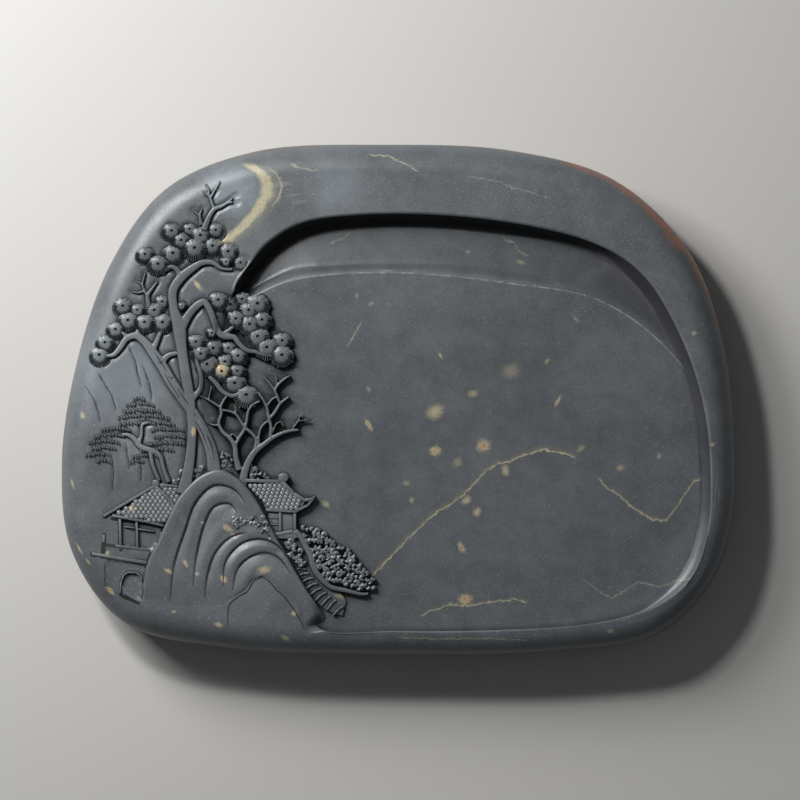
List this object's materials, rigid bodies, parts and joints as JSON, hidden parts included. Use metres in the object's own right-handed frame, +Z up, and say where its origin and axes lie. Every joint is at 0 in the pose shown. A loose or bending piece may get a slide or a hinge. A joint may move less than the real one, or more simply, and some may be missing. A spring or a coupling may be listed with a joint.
{
  "type": "carved inkstone",
  "caption": "Large slate inkstone with a sunken grinding well, a deeper ink pool under the far rim, and a landscape carved in relief on the left.",
  "frame": {"origin": "middle of the flat base, under the middle of the stone's box", "axes": "+Z up out of the face, +X along the length to the user's right, +Y to the far side, where the ink pool is"},
  "size_m": [0.26, 0.197, 0.0324],
  "materials": {
    "slate": "satin"
  },
  "bodies": {
    "root": {"inkstone": "slate"}
  },
  "joints": []
}
